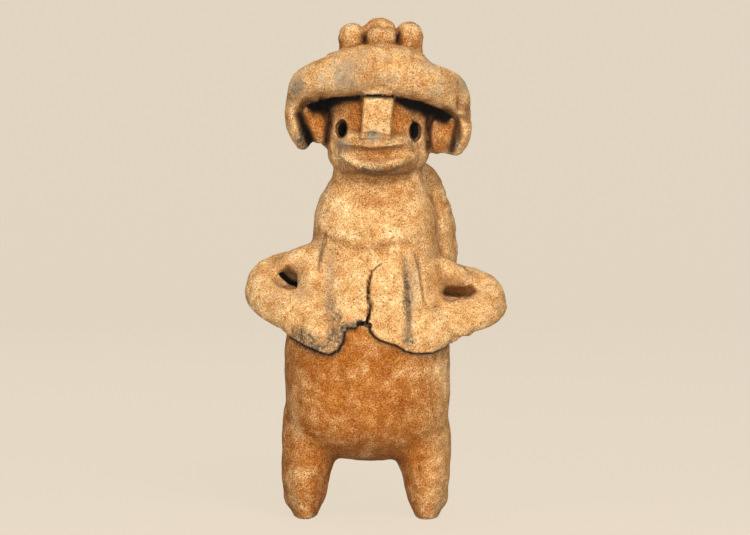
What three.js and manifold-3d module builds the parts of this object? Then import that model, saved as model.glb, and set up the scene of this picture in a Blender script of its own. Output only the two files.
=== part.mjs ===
// A hand-built terracotta figure that stands on two short stump legs, its hands laid on its belly.
// One fired piece: every limb, lip, roll and knob is pressed onto the hollow body while the clay is soft.
// Millimetres, +Z up, the figure faces -Y, and the origin is on the ground in the middle of its footprint.
import * as THREE from "three";
import { mergeVertices } from "three/addons/utils/BufferGeometryUtils.js";
import Module from "manifold-3d";

const wasm = await Module();
wasm.setup();

// Overall
const HEIGHT = 210; // soles to the top of the middle knob
const ELBOW_SPAN = 110.5;

// Body, from the barrel of the belly up to the neck
const BELLY_WIDTH = 70;
const BELLY_DEPTH = 54;
const SHOULDER_WIDTH = 53;
const SHOULDER_DEPTH = 43;
const NECK_WIDTH = 37;
const NECK_DEPTH = 31;

// Legs
const LEG_WIDTH = 20.4;
const LEG_DEPTH = 32;
const LEG_SPREAD = 51; // between the legs' middles
const SOLE_WIDTH = 9.5;
const SOLE_DEPTH = 24;

// Arms
const ARM_HEIGHT = 17.8; // upper arm, up and down
const ARM_THICKNESS = 14.5; // upper arm, front to back
const ELBOW_THICKNESS = 15;
const FOREARM_HEIGHT = 16.5;
const FOREARM_THICKNESS = 12;
const HAND_HEIGHT = 22;
const HAND_PROUD = 2.6; // how far a hand stands off the belly

// Clay layer over the chest, with its broken lower edge, crack and grooves
const CHEST_STEP = 3; // how far the chest stands proud of the belly
const CAPE_STEP = 1.3; // the soft ledge round the shoulders
const CRACK_WIDTH = 1.3;
const CRACK_DEPTH = 7;
const GROOVE_WIDTH = 1.6;
const GROOVE_DEPTH = 0.8;

// Head
const HEAD_WIDTH = 43.4;
const HEAD_DEPTH = 39;
const NOSE_WIDTH = 12.2;
const NOSE_PROUD = 6.5; // how far the nose stands off the face
const MOUTH_WIDTH = 32;
const MOUTH_PROUD = 5;
const MOUTH_DEPTH = 3; // how far the mouth is hollowed between its lips
const LIP_HEIGHT = 5;
const EYE_WIDTH = 6.2;
const EYE_HEIGHT = 7.9;
const EYE_DEPTH = 11;

// Roll over the brow, and the ends that hang from it
const ROLL_SPAN = 77.5;
const ROLL_HEIGHT = 21.2;
const ROLL_THICKNESS = 18;
const ROLL_END_WIDTH = 11.6;

// Ears and the hair behind them, knobs, and the lump carried on the back
const EAR_WIDTH = 10.6;
const EAR_HEIGHT = 27; // its top is pressed into the roll
const HAIR_WIDTH = 63;
const HAIR_DEPTH = 38;
const HAIR_HEIGHT = 48;
const KNOB_WIDTH = 11.8;
const MIDDLE_KNOB_WIDTH = 12.8;
const LUMP_WIDTH = 34;
const LUMP_DEPTH = 32;
const LUMP_HEIGHT = 66;

// Facets round a form
const BODY_SIDES = 32;
const HEAD_SIDES = 28;
const LIMB_SIDES = 16;
const SMALL_SIDES = 12;

// The pose is kept as shares of the height.
const level = (share) => share * HEIGHT;
const half = (size) => size / 2;
const point = (x, y, z) => new THREE.Vector3(x, y, z);
const UP = point(0, 0, 1);
const BACK = point(0, 1, 0);
const QUARTER_TURN = half(Math.PI);

// A smooth line through keys, each [at, value, value, ...].
function through(keys) {
  const count = keys[0].length - 1;
  const line = new THREE.CubicInterpolant(
    keys.map((key) => key[0]),
    keys.flatMap((key) => key.slice(1)),
    count,
    new Float32Array(count),
  );
  return (at) => Array.from(line.evaluate(at));
}

// Rows of [fullness, share of the length] for a form whose two ends close over the given shares.
function rounded({ start, end, rows, capRows = 4 }) {
  const made = [];
  for (let i = 0; i < capRows; i++) {
    const turn = (QUARTER_TURN * i) / capRows;
    made.push([Math.sin(turn), start * (1 - Math.cos(turn))]);
  }
  for (let i = 0; i <= rows; i++) made.push([1, start + ((1 - start - end) * i) / rows]);
  for (let i = capRows - 1; i >= 0; i--) {
    const turn = (QUARTER_TURN * i) / capRows;
    made.push([Math.sin(turn), 1 - end * (1 - Math.cos(turn))]);
  }
  return made;
}

// A closed form turned from rows; place(u, v, t) puts each of its points. Values near 0 count as 0,
// so that the two edges of its seam meet.
const onSeam = (value) => (Math.abs(value) < 1e-9 ? 0 : value);

function turned(rows, place, sides = LIMB_SIDES) {
  const geometry = new THREE.LatheGeometry(
    rows.map(([fullness, t]) => new THREE.Vector2(fullness, t)),
    sides,
  );
  const points = geometry.getAttribute("position");
  for (let i = 0; i < points.count; i++) {
    const p = place(onSeam(points.getX(i)), onSeam(-points.getZ(i)), points.getY(i));
    points.setXYZ(i, p.x, p.y, p.z);
  }
  return geometry;
}

// A roll of clay laid along points. girth(t) gives its half sizes along the face vector and across it.
function clayRoll(points, face, girth, rows, sides = LIMB_SIDES) {
  const path = new THREE.CatmullRomCurve3(points, false, "centripetal");
  return turned(
    rounded(rows),
    (u, v, t) => {
      const along = path.getTangentAt(t);
      const first = face.clone().addScaledVector(along, -face.dot(along)).normalize();
      const second = new THREE.Vector3().crossVectors(along, first);
      const [a, b] = girth(t);
      return path
        .getPointAt(t)
        .addScaledVector(first, u * a)
        .addScaledVector(second, v * b);
    },
    sides,
  );
}

// An egg of clay with its three half sizes.
function egg(centre, halves, sides = LIMB_SIDES) {
  const geometry = new THREE.SphereGeometry(1, sides, Math.round(sides * 0.6));
  geometry.scale(halves.x, halves.y, halves.z);
  geometry.translate(centre.x, centre.y, centre.z);
  return geometry;
}

// A prism with its outline seen from the front, from y = front to y = back.
function prism(outline, front, back) {
  const shape = new THREE.Shape(outline.map(([x, z]) => new THREE.Vector2(x, z)));
  const geometry = new THREE.ExtrudeGeometry(shape, { depth: back - front, bevelEnabled: false });
  geometry.rotateX(QUARTER_TURN);
  geometry.translate(0, back, 0);
  return geometry;
}

function solid(geometry) {
  const bare = geometry.clone();
  bare.deleteAttribute("normal");
  bare.deleteAttribute("uv");
  const merged = mergeVertices(bare, 1e-4);
  const corners = [];
  const index = merged.index.array;
  for (let i = 0; i < index.length; i += 3) {
    const [a, b, c] = index.slice(i, i + 3);
    if (a !== b && b !== c && c !== a) corners.push(a, b, c);
  }
  return new wasm.Manifold(
    new wasm.Mesh({
      numProp: 3,
      vertProperties: merged.getAttribute("position").array,
      triVerts: new Uint32Array(corners),
    }),
  );
}

function geometryOf(manifold) {
  const mesh = manifold.getMesh();
  const geometry = new THREE.BufferGeometry();
  geometry.setAttribute("position", new THREE.BufferAttribute(mesh.vertProperties, 3));
  geometry.setIndex(new THREE.BufferAttribute(mesh.triVerts, 1));
  return geometry;
}

// A section between a round one (2) and a square one (much more than 2)
function squared(u, v, power) {
  const reach = Math.hypot(u, v);
  if (reach === 0) return [0, 0];
  const [c, s] = [Math.abs(u) / reach, Math.abs(v) / reach];
  const grow = (c ** power + s ** power) ** (-1 / power);
  return [u * grow, v * grow];
}

// How far forward such a section reaches, as a share of its half depth.
function frontShare(across, power) {
  const clear = Math.min(Math.abs(across), 0.98);
  return (1 - clear ** power) ** (1 / power);
}

// Body
const BELLY = half(BELLY_WIDTH);
const SHOULDER = half(SHOULDER_WIDTH);
const NECK = half(NECK_WIDTH);
const BELLY_X = level(-0.016); // the belly sits a little to the figure's right
const BELLY_FLOOR = level(0.1124);
const NECK_TOP = level(0.76);
const BODY_SQUARENESS = 2.35;

// [height, half width, half depth, sideways, backwards]
const bodyAt = through([
  [BELLY_FLOOR, BELLY * 0.95, half(BELLY_DEPTH) * 0.94, BELLY_X, 0],
  [level(0.233), BELLY * 0.983, half(BELLY_DEPTH) * 0.99, BELLY_X, 0],
  [level(0.31), BELLY, half(BELLY_DEPTH), BELLY_X, 0],
  [level(0.365), BELLY * 0.98, half(BELLY_DEPTH) * 0.98, BELLY_X, 0],
  [level(0.43), BELLY * 0.875, half(BELLY_DEPTH) * 0.91, level(-0.007), 0],
  [level(0.495), SHOULDER * 1.05, half(SHOULDER_DEPTH) * 1.05, level(0.001), 0],
  [level(0.574), SHOULDER, half(SHOULDER_DEPTH), level(0.0005), 0],
  [level(0.61), SHOULDER * 0.97, half(SHOULDER_DEPTH) * 0.95, level(-0.001), 0],
  [level(0.6345), SHOULDER * 0.9, half(SHOULDER_DEPTH) * 0.88, level(-0.004), 0],
  [level(0.683), NECK * 1.01, half(NECK_DEPTH), level(0.004), level(-0.004)],
  [NECK_TOP, NECK, half(NECK_DEPTH), level(0.006), level(-0.006)],
]);

function bodyForm(proudAt = () => 0) {
  const span = NECK_TOP - BELLY_FLOOR;
  return turned(
    rounded({ start: 0.14, end: 0.02, rows: 16, capRows: 5 }),
    (u, v, t) => {
      const z = BELLY_FLOOR + t * span;
      const [width, depth, x, y] = bodyAt(z);
      const [a, b] = squared(u, v, BODY_SQUARENESS);
      return point(x + a * width, y + b * depth - proudAt(z), z);
    },
    BODY_SIDES,
  );
}

// The y of the body's front at a place on it
function bodyFront(x, z) {
  const [width, depth, cx, cy] = bodyAt(z);
  return cy - depth * frontShare((x - cx) / width, BODY_SQUARENESS);
}

// Legs: each rounds in to a worn flat sole, and flares inwards under the belly.
const LEG_TOP = level(0.29);
const FOOT_ROUND = level(0.081); // height over which a foot rounds in
const LEGS_Y = level(0.002);

function leg(x, inwards) {
  const rows = [[0, 0]];
  const footRows = 6;
  const footShare = FOOT_ROUND / LEG_TOP;
  for (let i = 0; i <= footRows; i++) {
    rows.push([1, footShare * (1 - Math.cos((QUARTER_TURN * i) / footRows))]);
  }
  rows.push([1, 0.42], [1, 0.58], [0.93, 0.76], [0.7, 0.92], [0, 1]);
  return turned(rows, (u, v, t) => {
    const z = t * LEG_TOP;
    const swell = 1 - (1 - Math.min(z / FOOT_ROUND, 1)) ** 1.6;
    const width = THREE.MathUtils.lerp(half(SOLE_WIDTH), half(LEG_WIDTH), swell);
    const depth = THREE.MathUtils.lerp(half(SOLE_DEPTH), half(LEG_DEPTH), swell);
    const flare = Math.max(0, z - FOOT_ROUND) * 0.18;
    return point(x + inwards * flare + u * (width + flare), LEGS_Y + v * depth, z);
  });
}

// Arms: each leaves the shoulder, bends round in a half circle at the elbow and ends on the belly.
const SHOULDER_JOINT = point(SHOULDER * 0.72, level(0.004), level(0.499));
const UPPER_ARM = point(0, level(0.02), level(0.489)); // where its middle runs, seen from the side
const ELBOW_BEND = point(0, level(-0.09), level(-0.071)); // from the upper arm down to the forearm
const WRIST = point(SHOULDER * 1.17, level(-0.075), level(0.4035));
const HAND_Z = level(0.39);

function arm(side, drop, handEnd) {
  const mirrored = (p, lower) => point(side * p.x, p.y, p.z - drop * lower);
  const radius = half(ELBOW_BEND.length());
  const reach = half(ELBOW_SPAN) - half(ELBOW_THICKNESS) - radius;
  const points = [mirrored(SHOULDER_JOINT, 1)];
  const steps = 4;
  for (let i = 0; i <= steps; i++) {
    const turn = (Math.PI * i) / steps;
    const round = half(1 - Math.cos(turn));
    const p = UPPER_ARM.clone().addScaledVector(ELBOW_BEND, round);
    p.x = reach + radius * Math.sin(turn);
    points.push(mirrored(p, 1 - 0.4 * round));
  }
  points.push(mirrored(WRIST, 0.3));
  const sunk = half(FOREARM_THICKNESS) - HAND_PROUD;
  const onBelly = (x) => point(x, bodyFront(x, HAND_Z) + sunk, HAND_Z);
  points.push(onBelly(side * BELLY * 0.68), onBelly(handEnd));
  const girth = through([
    [0, half(ARM_HEIGHT) * 1.35, half(ARM_THICKNESS) * 1.2],
    [0.14, half(ARM_HEIGHT) * 1.16, half(ARM_THICKNESS) * 1.08],
    [0.3, half(ARM_HEIGHT), half(ARM_THICKNESS)],
    [0.44, half(ARM_HEIGHT), half(ELBOW_THICKNESS)],
    [0.56, half(ARM_HEIGHT) * 0.96, half(ELBOW_THICKNESS) * 0.92],
    [0.68, half(FOREARM_HEIGHT), half(FOREARM_THICKNESS) * 1.1],
    [0.8, half(FOREARM_HEIGHT) * 1.15, half(FOREARM_THICKNESS)],
    [0.9, half(HAND_HEIGHT), half(FOREARM_THICKNESS)],
    [1, half(HAND_HEIGHT), half(FOREARM_THICKNESS)],
  ]);
  return clayRoll(points, UP, girth, { start: 0.1, end: 0.12, rows: 13 });
}

// The chest's layer ends low down in a broken edge, listed here from the figure's right to its left.
const BROKEN_EDGE = [
  [-0.19, 0.375],
  [-0.15, 0.353],
  [-0.127, 0.341],
  [-0.1, 0.335],
  [-0.08, 0.341],
  [-0.068, 0.358],
  [-0.062, 0.379],
  [-0.05, 0.387],
  [-0.026, 0.393],
  [-0.01, 0.389],
  [0.002, 0.373],
  [0.02, 0.359],
  [0.044, 0.349],
  [0.066, 0.337],
  [0.09, 0.331],
  [0.13, 0.337],
  [0.15, 0.345],
  [0.19, 0.365],
].map(([x, z]) => [level(x), level(z)]);

// The shoulders' layer ends in a soft ledge that sags in the middle.
const CAPE_EDGE = [
  [-0.14, 0.59],
  [-0.1, 0.567],
  [-0.05, 0.56],
  [0, 0.557],
  [0.05, 0.562],
  [0.09, 0.572],
  [0.14, 0.595],
].map(([x, z]) => [level(x), level(z)]);

// A layer over the body's front: proud in full up to one height, and gone at the next.
function frontLayer(edge, step, full, gone) {
  const outline = [...edge, [edge.at(-1)[0], gone], [edge[0][0], gone]];
  const proudAt = (z) => step * (1 - THREE.MathUtils.smoothstep(z, full, gone));
  return solid(bodyForm(proudAt)).intersect(solid(prism(outline, -BELLY_DEPTH, 0)));
}

// Head
const HEAD_X = level(0.006);
const HEAD_Y = level(-0.012);
const CHIN = level(0.676);
const CROWN = level(0.947);
const HEAD_SQUARENESS = 2.3;
const headAt = through([
  [CHIN, half(HEAD_WIDTH) * 0.86, half(HEAD_DEPTH) * 0.84],
  [level(0.71), half(HEAD_WIDTH) * 0.95, half(HEAD_DEPTH) * 0.93],
  [level(0.75), half(HEAD_WIDTH), half(HEAD_DEPTH)],
  [level(0.81), half(HEAD_WIDTH), half(HEAD_DEPTH)],
  [level(0.86), half(HEAD_WIDTH) * 1.2, half(HEAD_DEPTH) * 1.04],
  [CROWN, half(HEAD_WIDTH) * 1.06, half(HEAD_DEPTH) * 0.96],
]);

function head() {
  const span = CROWN - CHIN;
  return turned(
    rounded({ start: 0.16, end: 0.22, rows: 5, capRows: 5 }),
    (u, v, t) => {
      const z = CHIN + t * span;
      const [width, depth] = headAt(z);
      const [a, b] = squared(u, v, HEAD_SQUARENESS);
      return point(HEAD_X + a * width, HEAD_Y + b * depth, z);
    },
    HEAD_SIDES,
  );
}

// The y of the face at a place on it
function faceFront(x, z) {
  const [width, depth] = headAt(z);
  return HEAD_Y - depth * frontShare((x - HEAD_X) / width, HEAD_SQUARENESS);
}

// The nose is a plank with a flat front.
function nose() {
  const top = level(0.86);
  const tip = level(0.748);
  const squareness = 6;
  return turned(
    rounded({ start: 0.06, end: 0.1, rows: 3, capRows: 3 }),
    (u, v, t) => {
      const z = THREE.MathUtils.lerp(tip, top, t);
      const x = THREE.MathUtils.lerp(level(0.001), HEAD_X, t);
      const [a, b] = squared(u, v, squareness);
      return point(x + a * half(NOSE_WIDTH), faceFront(HEAD_X, z) + b * NOSE_PROUD * (1 - 0.25 * t), z);
    },
  );
}

// The mouth swells out like a short bill, hollowed between an upper and a lower lip.
const MOUTH_Z = level(0.7235);
const MOUTH_HEIGHT = level(0.074);

function muzzle() {
  const centre = point(HEAD_X, faceFront(HEAD_X, MOUTH_Z) + MOUTH_PROUD, MOUTH_Z);
  return egg(centre, point(half(MOUTH_WIDTH) * 1.05, MOUTH_PROUD * 2, half(MOUTH_HEIGHT)));
}

function mouthHollow() {
  const centre = point(HEAD_X, faceFront(HEAD_X, MOUTH_Z) - MOUTH_PROUD, MOUTH_Z);
  return egg(centre, point(half(MOUTH_WIDTH) * 0.8, MOUTH_DEPTH, half(MOUTH_HEIGHT) * 0.45), SMALL_SIDES);
}

// A lip bows up or down in the middle by its sag.
function lip(z, sag) {
  const points = [-1, -0.6, 0, 0.6, 1].map((share) => {
    const x = HEAD_X + half(MOUTH_WIDTH) * share;
    const height = z - sag * (1 - share * share);
    return point(x, faceFront(x, height) - MOUTH_PROUD * 0.8 * (1 - share * share), height);
  });
  const girth = (t) => {
    const taper = 1 - 0.3 * Math.abs(2 * t - 1);
    return [half(LIP_HEIGHT) * taper, half(LIP_HEIGHT) * 1.5 * taper];
  };
  return clayRoll(points, UP, girth, { start: 0.08, end: 0.08, rows: 6, capRows: 3 }, SMALL_SIDES);
}

// An eye is poked through the clay, square to the face.
function eye(side) {
  const x = HEAD_X + side * half(HEAD_WIDTH) * 0.715;
  const z = level(side < 0 ? 0.7776 : 0.7724);
  const turn = side * THREE.MathUtils.degToRad(30);
  const inwards = point(-Math.sin(turn), Math.cos(turn), 0);
  const mouth = point(x, faceFront(x, z), z);
  const start = mouth.clone().addScaledVector(inwards, -EYE_DEPTH);
  const end = mouth.clone().addScaledVector(inwards, EYE_DEPTH);
  const girth = () => [half(EYE_HEIGHT), half(EYE_WIDTH)];
  return clayRoll([start, end], UP, girth, { start: 0.1, end: 0.12, rows: 1, capRows: 2 });
}

// The roll over the brow: [share of its reach, height, how far it is swung round to the side of the head]
const ROLL_LINE = [
  [-0.955, 0.848, 1],
  [-0.8, 0.8615, 0.7],
  [-0.56, 0.8785, 0.28],
  [-0.28, 0.89, 0.06],
  [0, 0.897, 0],
  [0.28, 0.8875, 0.06],
  [0.56, 0.8705, 0.28],
  [0.81, 0.8455, 0.7],
  [0.96, 0.822, 1],
];
const ROLL_SIDE_Y = level(-0.03);

function roll() {
  const front = faceFront(HEAD_X, level(0.89)) - ROLL_THICKNESS * 0.08;
  const points = ROLL_LINE.map(([x, z, swing]) =>
    point(HEAD_X + half(ROLL_SPAN) * x, THREE.MathUtils.lerp(front, ROLL_SIDE_Y, swing), level(z)),
  );
  const [tall, thick] = [half(ROLL_HEIGHT), half(ROLL_THICKNESS)];
  const girth = through([
    [0, thick * 0.94, tall * 0.78],
    [0.2, thick * 0.97, tall * 0.8],
    [0.5, thick, tall],
    [0.8, thick * 0.97, tall * 0.82],
    [1, thick * 0.94, tall * 0.8],
  ]);
  return clayRoll(points, BACK, girth, { start: 0.11, end: 0.11, rows: 10, capRows: 5 });
}

// The end of the roll hangs down beside the ear.
function rollEnd(side, top, bottom) {
  const x = HEAD_X + side * (half(ROLL_SPAN) - half(ROLL_END_WIDTH));
  const y = ROLL_SIDE_Y - ROLL_END_WIDTH * 0.1;
  const middle = THREE.MathUtils.lerp(top, bottom, 0.5);
  const inwards = -side * ROLL_END_WIDTH * 0.17;
  const points = [point(x, y, top), point(x, y, middle), point(x + inwards, y, bottom)];
  const [thick, wide] = [half(ROLL_END_WIDTH) * 1.1, half(ROLL_END_WIDTH)];
  const girth = (t) => [thick * (1 - 0.15 * t), wide * (1 - 0.18 * t * t)];
  return clayRoll(points, BACK, girth, { start: 0.24, end: 0.24, rows: 2 }, SMALL_SIDES);
}

// An ear hangs from under the roll, in front of the hair round the sides and back of the head.
function ear(side, lobe) {
  const outer = half(HEAD_WIDTH) + EAR_WIDTH;
  const inner = half(HEAD_WIDTH) - EAR_WIDTH * 0.5;
  const x = HEAD_X + side * half(outer + inner);
  const z = lobe + half(EAR_HEIGHT);
  const halves = point(half(outer - inner), half(EAR_WIDTH) * 1.1, half(EAR_HEIGHT));
  return egg(point(x, level(-0.026), z), halves, SMALL_SIDES);
}

function hair() {
  const centre = point(HEAD_X, level(0.01), level(0.82));
  return egg(centre, point(half(HAIR_WIDTH), half(HAIR_DEPTH), half(HAIR_HEIGHT)), HEAD_SIDES - 6);
}

// Knobs along the top of the head; the middle one has a lower lobe in front.
function knob(x, width, top, y) {
  const foot = CROWN - level(0.07);
  const girth = () => [half(width), half(width)];
  const end = half(width) / (top - foot);
  const points = [point(x, y, foot), point(x, y, top)];
  return clayRoll(points, BACK, girth, { start: 0.02, end, rows: 1, capRows: 3 }, SMALL_SIDES);
}

function knobs() {
  const pressedIn = 0.96; // each knob is pressed a little into the next
  const spread = half(KNOB_WIDTH + MIDDLE_KNOB_WIDTH) * pressedIn;
  const middle = level(0.0108);
  const [back, front] = [level(-0.012), level(-0.036)];
  return [
    knob(middle - spread, KNOB_WIDTH, level(0.99), back),
    knob(middle, MIDDLE_KNOB_WIDTH, HEIGHT, back),
    knob(middle, MIDDLE_KNOB_WIDTH * 0.9, level(0.976), front),
    knob(middle + spread, KNOB_WIDTH, level(0.9925), back),
  ];
}

// The lump on the back is one uneven mass, widest low down.
function backLump() {
  const x = half(LUMP_WIDTH) + level(0.007);
  const y = half(SHOULDER_DEPTH);
  const bottom = level(0.408);
  return turned(
    rounded({ start: 0.4, end: 0.57, rows: 1, capRows: 7 }),
    (u, v, t) => {
      const uneven = 1 + 0.05 * Math.sin(9 * t + 3 * v) * Math.cos(4 * u);
      const lean = level(0.02) * Math.max(0, t - 0.4);
      return point(
        x - lean + u * half(LUMP_WIDTH),
        y - lean + v * half(LUMP_DEPTH) * uneven,
        bottom + t * LUMP_HEIGHT,
      );
    },
    LIMB_SIDES,
  );
}

// The crack runs up the front from a gap at the broken edge: [sideways, height, share of its width].
const CRACK_LINE = [
  [0.015, 0.515, 0.15],
  [-0.011, 0.499, 0.5],
  [-0.0125, 0.46, 0.7],
  [-0.011, 0.42, 1],
  [-0.012, 0.398, 1.6],
  [-0.012, 0.378, 1.8],
];

function crack() {
  const edge = (side) =>
    CRACK_LINE.map(([x, z, width]) => [level(x) + side * half(CRACK_WIDTH) * width, level(z)]);
  const outline = [...edge(-1), ...edge(1).reverse()];
  const front = bodyFront(0, level(0.45)) - CHEST_STEP;
  return prism(outline, front - BELLY_DEPTH, front + CRACK_DEPTH);
}

// Grooves down the chest, between it and the arms: [sideways, height] from top to bottom.
const GROOVES = [
  [[-0.1015, 0.563], [-0.105, 0.53], [-0.108, 0.505]],
  [[0.0562, 0.552], [0.0575, 0.515], [0.0622, 0.48]],
];

function groove(line) {
  const points = line.map(([x, z]) => {
    const [across, height] = [level(x), level(z)];
    return point(across, bodyFront(across, height) - CHEST_STEP * 0.7, height);
  });
  const girth = () => [half(GROOVE_WIDTH), GROOVE_DEPTH + CHEST_STEP * 0.3];
  const sideways = point(1, 0, 0.3).normalize();
  return clayRoll(points, sideways, girth, { start: 0.1, end: 0.1, rows: 5, capRows: 2 }, SMALL_SIDES - 4);
}

function figure() {
  const legsX = BELLY_X * 1.2;
  const pieces = [
    bodyForm(),
    leg(legsX - half(LEG_SPREAD), 1),
    leg(legsX + half(LEG_SPREAD), -1),
    arm(-1, 0, level(-0.065)),
    arm(1, level(0.029), level(0.05)),
    head(),
    nose(),
    muzzle(),
    roll(),
    rollEnd(-1, level(0.866), level(0.74)),
    rollEnd(1, level(0.845), level(0.718)),
    ear(-1, level(0.75)),
    ear(1, level(0.725)),
    hair(),
    ...knobs(),
    backLump(),
  ].map(solid);
  pieces.push(
    frontLayer(BROKEN_EDGE, CHEST_STEP, level(0.45), level(0.545)),
    frontLayer(CAPE_EDGE, CAPE_STEP, level(0.575), level(0.66)),
  );
  const join = (sum, piece) => sum.add(piece);
  let whole = pieces.reduce(join).subtract(solid(mouthHollow()));
  const lips = [lip(level(0.7435), level(-0.006)), lip(level(0.733), level(0.031))];
  whole = [whole, ...lips.map(solid)].reduce(join);
  const cuts = [eye(-1), eye(1), crack(), ...GROOVES.map(groove)];
  return geometryOf(cuts.reduce((left, cut) => left.subtract(solid(cut)), whole));
}

const clay = new THREE.MeshStandardMaterial({ color: 0xc8893f, roughness: 0.92, metalness: 0 });
const mesh = new THREE.Mesh(figure(), clay);
mesh.name = "terracotta_figure";
mesh.geometry.computeBoundingBox();
const box = mesh.geometry.boundingBox;
mesh.position.set(-half(box.min.x + box.max.x), -half(box.min.y + box.max.y), -box.min.z);

const group = new THREE.Group();
group.add(mesh);
export default group;
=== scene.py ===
"""A hand-built terracotta figure, with its broken chest and sandy, sooty skin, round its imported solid."""

import math

import bmesh
import bpy
import numpy as np
from bpy.props import FloatProperty, FloatVectorProperty, IntProperty, PointerProperty
from mathutils import Euler, Matrix, Vector, noise
from mathutils.bvhtree import BVHTree


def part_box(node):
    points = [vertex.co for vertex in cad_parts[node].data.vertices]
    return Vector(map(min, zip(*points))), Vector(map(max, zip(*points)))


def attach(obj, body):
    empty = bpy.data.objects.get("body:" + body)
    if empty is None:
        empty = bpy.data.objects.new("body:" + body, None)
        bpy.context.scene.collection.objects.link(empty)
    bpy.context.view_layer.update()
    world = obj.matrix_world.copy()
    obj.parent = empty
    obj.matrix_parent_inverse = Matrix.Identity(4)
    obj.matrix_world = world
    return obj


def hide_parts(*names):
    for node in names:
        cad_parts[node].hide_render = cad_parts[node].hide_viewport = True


bl_info = {
    "name": "Terracotta Figure",
    "version": (1, 0, 0),
    "blender": (4, 5, 0),
    "location": "3D View > Sidebar > Terracotta",
    "description": "Models a hand-built terracotta figure and its fired, weathered surface",
    "category": "Add Mesh",
}

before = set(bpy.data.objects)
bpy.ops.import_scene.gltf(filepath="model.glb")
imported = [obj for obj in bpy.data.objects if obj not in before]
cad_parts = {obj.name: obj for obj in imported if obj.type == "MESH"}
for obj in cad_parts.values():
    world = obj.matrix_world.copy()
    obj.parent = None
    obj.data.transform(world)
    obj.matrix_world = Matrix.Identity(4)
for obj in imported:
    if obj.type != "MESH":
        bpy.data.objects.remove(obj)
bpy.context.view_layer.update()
NODE = "terracotta_figure"
LOW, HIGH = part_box(NODE)
MM = 0.001
HEIGHT = (HIGH.z - LOW.z) / MM

# Places on the figure's front are (sideways, height) in millimetres, listed from its right to its left.

# The broken lower edge of the chest and hands, and the chip of clay missing from it
BROKEN_EDGE = [
    (-52, 90), (-44, 82), (-38, 78.2), (-33.7, 76.2), (-27.4, 73), (-21.1, 70.8), (-18.4, 70.6),
    (-15.4, 72.2), (-13.4, 75.5), (-12.9, 79.3), (-13.7, 81.6), (-11.6, 83.2), (-9, 82.9), (-6.8, 83.6),
    (-4.2, 83.9), (-1.9, 82.6), (-1.6, 80), (0.4, 77.6), (2.1, 76.4), (4.6, 75.4), (8.9, 74.2),
    (12.7, 71.8), (16, 70.8), (23.2, 70.7), (30, 73.2), (37, 77.4), (44, 82), (52, 90),
]
GAP = [(-6.6, 82.9), (-4.4, 82.7), (-2.3, 82.2)]
CRACK = [
    (3.4, 108), (0.6, 106.1), (-1.5, 104.4), (-2.1, 100.9), (-3, 97.7), (-2.7, 93.9), (-1.9, 90.4),
    (-2.6, 86.9), (-3.1, 84.4), (-3.4, 82.6),
]
CAPE_EDGE = [
    (-30, 121), (-24, 120.4), (-20.2, 118.6), (-13.2, 115.9), (-6, 113.9), (0, 114.5), (5.9, 115.4),
    (10.1, 116.7), (15.6, 115.8), (21, 118), (27, 121),
]
RIGHT_GROOVE = [(-20.4, 121), (-21.8, 114), (-23, 107.5), (-24.2, 102.8)]
RIGHT_VALLEY = [(-18.3, 117), (-18.1, 104.3), (-18.1, 97), (-18.7, 90), (-20, 83)]
LEFT_GROOVE = [(12, 114), (12.4, 104.3), (13.5, 96.6), (14.2, 89.3), (14.5, 82), (13, 75)]
LEFT_RIDGE = [(14.2, 114.6), (16, 108.5), (17.2, 103.7), (18.1, 96.6), (19.3, 90.5), (20.6, 88)]
# The plank nose, the height where it runs into the roll, and the eyes and pupils with their half sizes
NOSE = [(-4.5, 180), (-5.9, 159), (6.3, 159), (8.1, 180)]
NOSE_TOP = 177
EYES = [((-14.3, 163), (2.7, 3.7)), ((17, 161.9), (2.7, 4.1))]
PUPILS = [((-13.6, 162.8), (1.8, 3)), ((16.3, 162.4), (1.9, 3.4))]
# Outlines that the head's sides keep to, and the lower edges of the arms and of the roll's hanging ends
HEAD_RIGHT_SIDE = [
    (-32.6, 156), (-34.6, 158.6), (-37.1, 163.6), (-37.6, 170), (-36.8, 176.4), (-35.2, 182.4),
    (-33.4, 186), (-30.6, 188.2), (-26.6, 190.4), (-19.8, 192.8), (-19, 196),
]
HEAD_LEFT_SIDE = [
    (36.2, 153.5), (38.4, 156), (39.8, 158.6), (40.4, 164), (40, 171), (39, 177.4), (37.1, 182.6),
    (34.4, 185.8), (29.2, 188), (22.4, 190.2), (20.2, 192.8), (20, 196),
]
UNDER_ARMS = [
    (-56, 97), (-54.4, 92.9), (-53.4, 90.5), (-51.4, 88.2), (-48.7, 85.9), (-45, 83.5), (-41.3, 81),
    (-39, 79.4), (39, 78.6), (40.5, 79.1), (48.1, 81.4), (51.4, 83.4), (54, 85.8), (55, 88.2), (56, 92),
]
UNDER_ENDS = [
    (-38, 161), (-36, 158), (-33.5, 155.6), (-31, 154.4), (-29, 154), (-27, 155), (27, 152.6), (31, 153),
    (34, 152.3), (37, 153.6), (40, 157),
]
# The lower edge of the roll, which overhangs the face
UNDER_ROLL = [
    (-30, 172.8), (-27.4, 173.7), (-18.1, 176.3), (-4.6, 177.2), (7.2, 177), (19.4, 174.6), (28.3, 171.2),
    (33.7, 167.8),
]
# How far the shade under the roll reaches down the face, at places across it, and how soon it fades
ROLL_SHADE = [(-28, 5.2), (-19, 5.2), (-12, 2.6), (9, 2.8), (14, 5.4), (30, 5.4)]
ROLL_FADE = 3
# Ears: the middle (sideways, height), the half sizes and the lean in degrees
EARS = [((-25.2, 165.3), (5, 8.2), -17), ((28.3, 161), (5.8, 8.4), 6)]
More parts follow.
